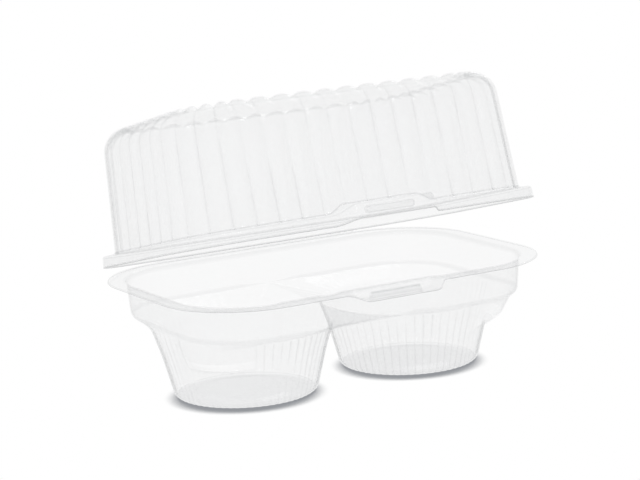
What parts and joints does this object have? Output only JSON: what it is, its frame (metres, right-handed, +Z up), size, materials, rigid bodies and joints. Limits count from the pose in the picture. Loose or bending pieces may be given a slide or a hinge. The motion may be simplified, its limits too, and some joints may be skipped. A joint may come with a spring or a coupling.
{
  "type": "cupcake box",
  "caption": "Clear thermoformed hinged box for cupcakes: round ribbed cups in a rimmed tray, and a tall fluted lid with a front latch, shown partly open.",
  "frame": {"origin": "on the surface that the cups stand on, under the middle of the whole box with its lid partly open", "axes": "+Z up, +X along the box to the right seen from the latch, +Y towards the hinge at the back"},
  "size_m": [0.1734, 0.1238, 0.124],
  "materials": {
    "clear_sheet_base": "clear glossy plastic sheet",
    "clear_sheet_lid": "clear glossy plastic sheet"
  },
  "bodies": {
    "base": {"base_tray": "clear_sheet_base"},
    "lid": {"lid": "clear_sheet_lid"}
  },
  "joints": [
    {"name": "lid_hinge", "type": "hinge", "parent": "base", "child": "lid", "pos_m": [0, 0.05905, 0.04715], "axis": [-1, 0, 0], "range_deg": [-13.3, 131.7]}
  ]
}
